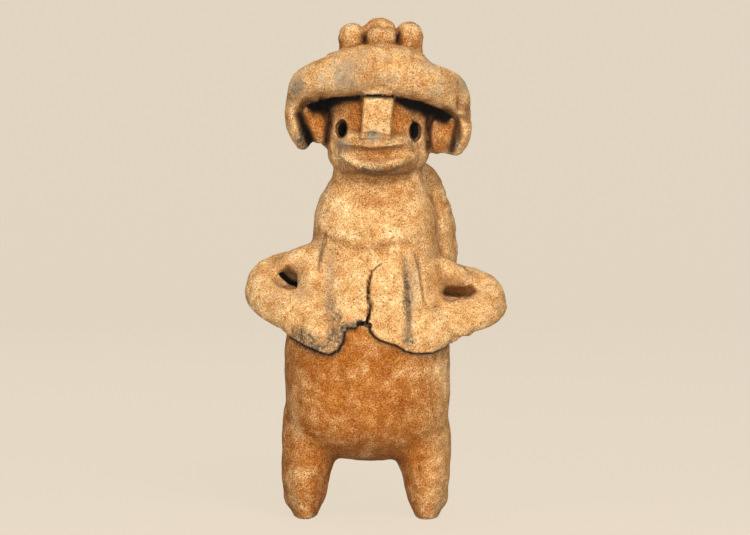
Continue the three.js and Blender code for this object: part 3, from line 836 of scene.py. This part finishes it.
def colour_places(mesh, settings):
    """Works out where the clay is sandy, pale, sooty, grey and worn, where it has grime, and where painted
    shade darkens it to black or brown.
    """
    points = points_of(mesh)
    broad, middle = cloud(points, 26, 11, 3), cloud(points, 9, 12, 3)
    signed = height_over(BROKEN_EDGE, points)
    fine, deep = hollows(mesh, 12), hollows(mesh, 90)
    sandy = sandy_places(points, signed, broad, middle)
    keep(mesh, "sandy", sandy - orange_places(points))
    keep(mesh, "pale", pale_places(points) + 0.3 * np.clip(broad, 0, 1) * sandy)
    keep(mesh, "soot", soot_places(points, signed, middle))
    keep(mesh, "grey", grey_places(points, signed, middle))
    keep(mesh, "black", painted_shade_places(points, signed, settings))
    keep(mesh, "dirt_and_shade", dirt_and_shade_places(points, fine, deep))
    keep(mesh, "worn", -fine / FINE_DEPTH * (1 - 0.85 * np.clip(ear_share(points), 0, 1)))


def ear_share(points):
    """1 on the ears and 0 away from them."""
    right, left = spot(points, RIGHT_EAR, (8, 12, 12)), spot(points, LEFT_EAR, (9, 12, 12))
    return np.clip(2 * right, 0, 1) + np.clip(2 * left, 0, 1)


def neck_share(points):
    """1 on the front of the neck and 0 away from it."""
    return front_spot(points, (0, 140), (22, 14))


# In what follows, signed is how far a point lies above the broken edge, in millimetres


def sandy_places(points, signed, broad, middle):
    """Sandy skin above the broken edge and in blotches below it, over rust-coloured clay."""
    x, y, z = points.T
    front = y < 0
    arms = (np.abs(x) > 38) & (z > 60)
    over_edge = (signed > 0) | (z > 92) | arms
    sandy = np.where(front | arms, over_edge, smooth(66, 96, z + 6 * broad))
    flanks = (0.15 * smooth(22, 36, -x) + 0.7 * smooth(16, 32, x)) * (z < 80)
    blotches = 0.65 * np.clip(middle + 0.6 * broad - 0.06, 0, 1)
    sandy = sandy * (0.88 + 0.2 * middle) + (blotches + flanks) * (1 - sandy)
    return sandy * np.where(front, 0.85 + 0.15 * smooth(25, 60, z), 1)


def orange_places(points):
    """Orange clay showing through the skin: the face, ears, neck, knobs, cape's edge and an arm's hollow."""
    _, y, z = points.T
    face = front_spot(points, (1, 169), (30, 18)) * ~above(UNDER_ROLL, points)
    under_cape = front_spot(points, (-1, 111.5), (20, 6))
    cape_line = bell(from_line(CAPE_EDGE, points)[0], 1.3) * (y < -8)
    knobs = smooth(195, 198, z) * (0.35 + 0.4 * (1 - smooth(198, 204, z)))
    arm_hollow = front_spot(points, (35, 95.2), (9, 4.6)) * smooth(-14, -8, y)
    orange = 1.2 * face + 0.12 * under_cape + 0.2 * cape_line + 0.5 * neck_share(points)
    orange += 1.15 * ear_share(points) + 0.1 * lump_share(points) + knobs
    orange += 0.35 * mouth_hollow(points) + 0.8 * arm_hollow
    return orange * ~(nose_front(points) | lip_band(points))


def pale_places(points):
    """Bleached clay on the nose, the lips and below the neck."""
    rim = bell(from_line(LOWER_LIP, points)[0], 1.5) * (points[:, 1] < -14)
    below_neck = front_spot(points, (-1, 120.5), (20, 5))
    return 0.45 * nose_front(points) + 0.3 * lip_band(points) + rim + 0.4 * below_neck


def soot_places(points, signed, middle):
    """Grey fire clouds and rubbed soot, on a hand and along the broken edge too."""
    x, front = points[:, 0], points[:, 1] < -10
    hand = bell(signed - 2.4, 2.8) * (1 - smooth(8, 11.5, np.abs(x + 24)))
    edge = bell(signed, 1.5) * (np.abs(x + 20) < 15)
    soot = 1.7 * patchwork(points, SOOT_SPOTS) * (0.75 + 0.5 * middle)
    return soot + (2.6 * hand * (1 + middle) + 0.9 * edge) * front


def grey_places(points, signed, middle):
    """Grey clay: chips and smudges, the thickness of the broken edge, and wear on the roll."""
    _, y, z = points.T
    thickness = (signed < 0.2) * (signed > -edge_thickness(points)) * (y < -10)
    roll = smooth(174, 180, z) * (1 - smooth(194, 197, z)) * (y < 0)
    grey = patchwork(points, GREY_SPOTS) * (0.9 + 0.6 * middle)
    return grey + 1.2 * thickness + roll * np.clip(middle + 0.15, 0, 1)


def painted_shade_places(points, signed, settings):
    """Painted shade, near black: in the crack and its gap, in the grooves, in the head's gaps and under the
    roll, under the broken edge, in the arms' hollows and in the eye holes.
    """
    x, y, _ = points.T
    black = crack_and_gap(points, settings) / (-settings.crack_depth / MM)
    # Painted shadow under the broken edge
    under_edge = bell(signed + 0.5 + edge_thickness(points), 0.64)
    black += 0.95 * under_edge * (np.abs(x) < 37) * (y < -10)
    black += line_shade(points) + 1.1 * head_gaps(points)[0]
    # Painted shade deep inside the eye holes
    for centre, radii in PUPILS:
        reach = reach_from(points, centre, radii)
        black += ((1 - smooth(0.8, 1.15, reach)) + 0.35 * (1 - smooth(1.3, 1.6, reach))) * (y < 5)
    black += arm_hollows(points)[1]
    # Painted shadow in the gap between the right ear and the roll's hanging end
    beside_ear = front_spot(points, (-29.2, 158.8), (3.8, 7))
    return black + 0.8 * beside_ear * (0.7 + 0.8 * cloud(points, 1.4, 17, 2))


def dirt_and_shade_places(points, fine, deep):
    """Brown: painted shade in small and broad hollows, whose depths are given, along lines of the face, on
    the neck and in the eyes; brown spots, partly grime and partly painted shade; and the browner upper lip,
    nose and ears.
    """
    # Painted shade, deeper the deeper a point lies in a hollow
    in_hollows = fine / FINE_DEPTH + np.clip(deep - 0.8, 0, None) / 3
    dirt_and_shade = in_hollows * (1 - 0.95 * mouth_hollow(points)) + painted_shade_lines(points)
    dirt_and_shade += 0.6 * lip_band(points) + 0.2 * nose_front(points)
    dirt_and_shade += patchwork(points, DIRT_AND_SHADE_SPOTS)
    dirt_and_shade *= 1 - 0.45 * lump_share(points)
    # The ears are browner clay; on the neck the brown is painted shadow of the chin
    dirt_and_shade += 0.35 * ear_share(points) + 0.25 * spot(points, LEFT_EAR, (8, 12, 11)) + 0.15 * neck_share(points)
    # Painted shade on the walls of the eye holes
    for centre, radii in EYES:
        dirt_and_shade += 0.9 * (1 - smooth(0.9, 1.15, reach_from(points, centre, radii))) * (points[:, 1] < 5)
    return dirt_and_shade


# The fired surface


class Nodes:
    """Short ways to lay out a material's nodes."""

    def __init__(self, name):
        self.material = bpy.data.materials.new(name)
        self.material.use_nodes = True
        self.tree = self.material.node_tree
        self.shader = self.tree.nodes["Principled BSDF"]
        self.places = self.tree.nodes.new("ShaderNodeTexCoord").outputs["Object"]

    def add(self, kind, **values):
        """A new node with these values."""
        node = self.tree.nodes.new(kind)
        for name, value in values.items():
            setattr(node, name, value)
        return node

    def link(self, source, target):
        """Joins an output to an input."""
        self.tree.links.new(source, target)

    def grain(self, size, detail=2.0, roughness=0.5):
        """Noise with features of about this size, in millimetres."""
        node = self.add("ShaderNodeTexNoise")
        node.inputs["Scale"].default_value = 1 / (size * MM)
        node.inputs["Detail"].default_value = detail
        node.inputs["Roughness"].default_value = roughness
        self.link(self.places, node.inputs["Vector"])
        return node.outputs["Fac"]

    def stretch(self, value, low, high, new_low=0.0, new_high=1.0):
        """The value, with low to high stretched to the new range and cut off beyond it."""
        node = self.add("ShaderNodeMapRange")
        sockets = ("From Min", "From Max", "To Min", "To Max")
        for socket, number in zip(sockets, (low, high, new_low, new_high)):
            node.inputs[socket].default_value = number
        self.link(value, node.inputs["Value"])
        return node.outputs["Result"]

    def math(self, operation, first, second):
        """One operation on two numbers or outputs."""
        node = self.add("ShaderNodeMath", operation=operation)
        for socket, value in zip(node.inputs, (first, second)):
            if isinstance(value, (int, float)):
                socket.default_value = value
            else:
                self.link(value, socket)
        return node.outputs["Value"]

    def kept(self, name):
        """A number kept on the mesh."""
        return self.add("ShaderNodeAttribute", attribute_name=name).outputs["Fac"]

    def mix(self, share, first, second, blend="MIX"):
        """Two colours blended by a share."""
        node = self.add("ShaderNodeMix", data_type="RGBA", blend_type=blend)
        sockets = [s for s in node.inputs if s.enabled]
        for socket, value in zip(sockets, (share, first, second)):
            if isinstance(value, (int, float)):
                socket.default_value = value
            elif isinstance(value, bpy.types.NodeSocket):
                self.link(value, socket)
            else:
                socket.default_value = (*value, 1)
        return next(s for s in node.outputs if s.enabled)

    def shade(self, value, low, high, swings):
        """A tint round white, darker where the value is low, with a swing for each of red, green and blue."""
        tint = self.add("ShaderNodeCombineColor")
        for socket, swing in zip(tint.inputs, swings):
            self.link(self.stretch(value, low, high, 1 - swing, 1 + swing), socket)
        return tint.outputs["Color"]

    def dots(self, cell, chosen, radius):
        """Round grains in a chosen share of cells of some millimetres; the radius is a share of a cell."""
        node = self.add("ShaderNodeTexVoronoi")
        node.inputs["Scale"].default_value = 1 / (cell * MM)
        self.link(self.places, node.inputs["Vector"])
        split = self.add("ShaderNodeSeparateColor")
        self.link(node.outputs["Color"], split.inputs["Color"])
        picked = self.math("LESS_THAN", split.outputs[0], chosen)
        inside = self.stretch(node.outputs["Distance"], radius, radius * 1.8, 1, 0)
        return self.math("MULTIPLY", picked, inside)

    def bump(self, height, distance, strength):
        """The surface's direction, tilted by a height that counts for this many millimetres."""
        node = self.add("ShaderNodeBump")
        node.inputs["Distance"].default_value = distance * MM
        node.inputs["Strength"].default_value = strength
        self.link(height, node.inputs["Height"])
        return node.outputs["Normal"]


def fired_clay(colours):
    """Sandy, gritty terracotta with rust, pale and sooty places."""
    n = Nodes("fired_clay")
    broad = n.grain(14, 4, 0.6)
    patches = n.grain(4.5, 4, 0.6)
    sand = n.grain(0.62, 2, 0.7)
    fine = n.grain(0.36, 1, 0.5)
    # Rust to sandy, uneven at their border
    uneven = n.math("ADD", n.kept("sandy"), n.stretch(patches, 0.3, 0.7, -0.16, 0.16))
    colour = n.mix(uneven, tuple(colours.rust), tuple(colours.sandy))
    worn = n.math("ADD", n.kept("pale"), n.math("MULTIPLY", n.kept("worn"), 0.6))
    bleached = n.math("MULTIPLY", worn, n.stretch(patches, 0.35, 0.6, 0.25, 1))
    colour = n.mix(bleached, colour, tuple(colours.pale))
    # Blotches, then brown: grime, and painted shade in the hollows, under the lips and roll, on the neck and
    # in the eyes
    colour = n.mix(1.0, colour, n.shade(broad, 0.3, 0.7, (0.14, 0.21, 0.32)), "MULTIPLY")
    colour = n.mix(1.0, colour, n.shade(patches, 0.3, 0.7, (0.14, 0.24, 0.42)), "MULTIPLY")
    colour = n.mix(n.math("MULTIPLY", n.kept("dirt_and_shade"), 0.6), colour, tuple(colours.umber))
    # Sand: light and dark grains, stronger on the bare clay, where they turn the colour too
    strength = n.stretch(n.kept("sandy"), 0, 1, 1, 0.74)
    colour = n.mix(strength, colour, n.shade(sand, 0.34, 0.66, (0.46, 0.66, 0.98)), "MULTIPLY")
    colour = n.mix(strength, colour, n.shade(fine, 0.32, 0.68, (0.26, 0.38, 0.6)), "MULTIPLY")
    dark = n.math("MAXIMUM", n.dots(1.1, 0.2, 0.21), n.dots(3.1, 0.12, 0.11))
    light = n.math("MULTIPLY", n.dots(0.9, 0.22, 0.22), n.stretch(n.kept("sandy"), 0, 1, 0.25, 0.55))
    colour = n.mix(light, colour, tuple(colours.pale))
    colour = n.mix(n.math("MULTIPLY", dark, 0.75), colour, tuple(colours.umber))
    # Soot in broken patches and grey clay, then painted shade near black, in the cracks, gaps, grooves and
    # holes and under the broken edge and the roll
    torn = n.stretch(n.grain(1.3, 5, 0.8), 0.4, 0.58, 0.1, 1)
    torn = n.math("MULTIPLY", torn, n.stretch(patches, 0.36, 0.56, 0.4, 1.2))
    sooty = n.math("MULTIPLY", n.kept("soot"), torn)
    broken = n.stretch(patches, 0.38, 0.6, 0.6, 1)
    greyed = n.math("MULTIPLY", broken, n.stretch(sand, 0.35, 0.65, 0.6, 1))
    greyed = n.math("MULTIPLY", n.kept("grey"), greyed)
    colour = n.mix(greyed, colour, tuple(colours.grey))
    colour = n.mix(n.stretch(sooty, 0.05, 0.8, 0, 0.88), colour, tuple(colours.soot))
    black = (0.006, 0.005, 0.004)
    colour = n.mix(n.kept("black"), colour, black)
    n.link(colour, n.shader.inputs["Base Color"])
    n.shader.inputs["Roughness"].default_value = 0.92
    n.shader.inputs["Specular IOR Level"].default_value = 0.22
    height = n.math("ADD", n.math("MULTIPLY", sand, 1.0), n.math("MULTIPLY", fine, 0.5))
    height = n.math("SUBTRACT", height, n.math("MULTIPLY", dark, 0.5))
    n.link(n.bump(height, 0.6, 0.8), n.shader.inputs["Normal"])
    return n.material


class TERRACOTTA_OT_figure(bpy.types.Operator):
    """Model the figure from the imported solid: fuse, press, refine and sculpt its clay, then fire it"""

    bl_idname = "terracotta.figure"
    bl_label = "Model Figure"

    def execute(self, context):
        settings = context.scene.terracotta_clay
        piece = base_clay()
        fuse(piece, settings.grid * 1.15)
        press_joins(piece, settings)
        if not piece.data.polygons:
            raise RuntimeError("the clay vanished while it was fused")
        heights = points_of(piece.data)[:, 2]
        soften(piece.data, 5, 1 - 0.7 * smooth(150, 160, heights))
        soften(piece.data, 30, 1 - smooth(55, 68, heights))
        for passes, centre, radii in SMEARED:
            smear(piece.data, passes, centre, radii)
        refine(piece.data, near_face, 1)
        refine(piece.data, near_fine_lines, 1)
        sculpt(piece.data, settings)
        colour_places(piece.data, settings)
        piece.data.materials.clear()
        piece.data.materials.append(fired_clay(context.scene.terracotta_colours))
        piece.data.shade_smooth()
        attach(piece, "root")
        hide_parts(NODE)
        return {"FINISHED"}


# The stage


def floor_material(colour):
    """A floor that glows evenly in its own colour and takes a little light, so that soft shadows show."""
    lit_share, glow = 0.12, 0.96
    n = Nodes("pale_floor")
    n.shader.inputs["Base Color"].default_value = (*(lit_share * c for c in colour), 1)
    n.shader.inputs["Roughness"].default_value = 1.0
    n.shader.inputs["Specular IOR Level"].default_value = 0.0
    n.shader.inputs["Emission Color"].default_value = (*colour, 1)
    n.shader.inputs["Emission Strength"].default_value = glow
    return n.material


def pale_floor(colour):
    """A floor that sweeps up into a backdrop."""
    sweep = bmesh.new()
    near, far, radius, tall, wide = -3, 2, 0.5, 2.2, 4
    outline = [(near, 0)]
    steps = 16
    for i in range(steps + 1):
        turn = math.pi / 2 * i / steps
        outline.append((far + radius * math.sin(turn), radius * (1 - math.cos(turn))))
    outline.append((far + radius, tall))
    for y, z in outline:
        sweep.verts.new((-wide, y, z))
    sweep.verts.ensure_lookup_table()
    edges = [sweep.edges.new(pair) for pair in zip(sweep.verts[:-1], sweep.verts[1:])]
    wider = bmesh.ops.extrude_edge_only(sweep, edges=edges)["geom"]
    moved = [v for v in wider if isinstance(v, bmesh.types.BMVert)]
    bmesh.ops.translate(sweep, verts=moved, vec=(2 * wide, 0, 0))
    bmesh.ops.recalc_face_normals(sweep, faces=sweep.faces)
    mesh = bpy.data.meshes.new("pale_floor")
    sweep.to_mesh(mesh)
    sweep.free()
    mesh.shade_smooth()
    mesh.materials.append(floor_material(colour))
    floor = bpy.data.objects.new("pale_floor", mesh)
    bpy.context.scene.collection.objects.link(floor)
    floor.visible_diffuse = False


def soft_light(name, place, target, size, power):
    """A round, soft light that the camera doesn't see."""
    data = bpy.data.lights.new(name, "AREA")
    data.shape = "DISK"
    data.size = size
    data.energy = power
    light = bpy.data.objects.new(name, data)
    light.location = place
    light.rotation_euler = (Vector(target) - Vector(place)).to_track_quat("-Z", "Y").to_euler()
    light.visible_camera = False
    bpy.context.scene.collection.objects.link(light)


def camera(settings):
    """A long lens at the photograph's height, with the figure in the middle of the frame."""
    frame_width = 0.3163  # metres that the picture's width takes in at the figure
    middle = Vector((0, 0, 0.5 * HEIGHT * MM))
    data = bpy.data.cameras.new("camera")
    data.sensor_width = 36
    data.lens = data.sensor_width * settings.distance / frame_width
    data.clip_end = 20
    view = bpy.data.objects.new("camera", data)
    back = Vector((0, -math.cos(settings.elevation), math.sin(settings.elevation)))
    view.location = middle + back * settings.distance
    view.rotation_euler = (-back).to_track_quat("-Z", "Y").to_euler()
    bpy.context.scene.collection.objects.link(view)
    bpy.context.scene.camera = view


class TERRACOTTA_OT_stage(bpy.types.Operator):
    """Set up the pale floor, the soft lights and the camera"""

    bl_idname = "terracotta.stage"
    bl_label = "Set Up Stage"

    def execute(self, context):
        scene = context.scene
        settings = scene.terracotta_stage
        pale_floor(tuple(settings.floor))
        camera(settings)
        chest = (0, 0, 0.12)
        soft_light("key", (0.34, -0.95, 0.85), chest, 0.55, settings.key)
        soft_light("fill", (-0.75, -0.8, 0.35), chest, 0.7, settings.fill)
        soft_light("top", (0, 0.15, 1.1), chest, 0.6, settings.fill / 2)
        soft_light("bounce", (0.05, -0.7, 0.05), (0, 0, 0.04), 0.5, settings.fill * 1.75)
        soft_light("back", (-0.5, 0.9, 0.7), chest, 0.7, settings.fill / 2)
        world = bpy.data.worlds.new("studio")
        world.use_nodes = True
        sky = world.node_tree.nodes["Background"]
        sky.inputs["Color"].default_value = (1, 0.97, 0.93, 1)
        sky.inputs["Strength"].default_value = 0.2
        scene.world = world
        scene.view_settings.view_transform = "Standard"
        return {"FINISHED"}


class TERRACOTTA_PT_panel(bpy.types.Panel):
    """Lists the operators and what they read"""

    bl_idname = "TERRACOTTA_PT_panel"
    bl_label = "Terracotta Figure"
    bl_space_type = "VIEW_3D"
    bl_region_type = "UI"
    bl_category = "Terracotta"

    def draw(self, context):
        layout = self.layout
        for operator in (TERRACOTTA_OT_figure, TERRACOTTA_OT_stage):
            layout.operator(operator.bl_idname)
        for name in SETTINGS:
            group = getattr(context.scene, name)
            for setting in group.bl_rna.properties.keys():
                if setting not in ("rna_type", "name"):
                    layout.prop(group, setting)


SETTINGS = {
    "terracotta_clay": ClaySettings,
    "terracotta_colours": FiredColours,
    "terracotta_stage": StageSettings,
}
CLASSES = (*SETTINGS.values(), TERRACOTTA_OT_figure, TERRACOTTA_OT_stage, TERRACOTTA_PT_panel)


def register():
    for made in CLASSES:
        bpy.utils.register_class(made)
    for name, group in SETTINGS.items():
        setattr(bpy.types.Scene, name, PointerProperty(type=group))


def unregister():
    for name in SETTINGS:
        delattr(bpy.types.Scene, name)
    for made in reversed(CLASSES):
        bpy.utils.unregister_class(made)


def main():
    register()
    bpy.ops.terracotta.figure()
    bpy.ops.terracotta.stage()


if __name__ == "__main__":
    main()
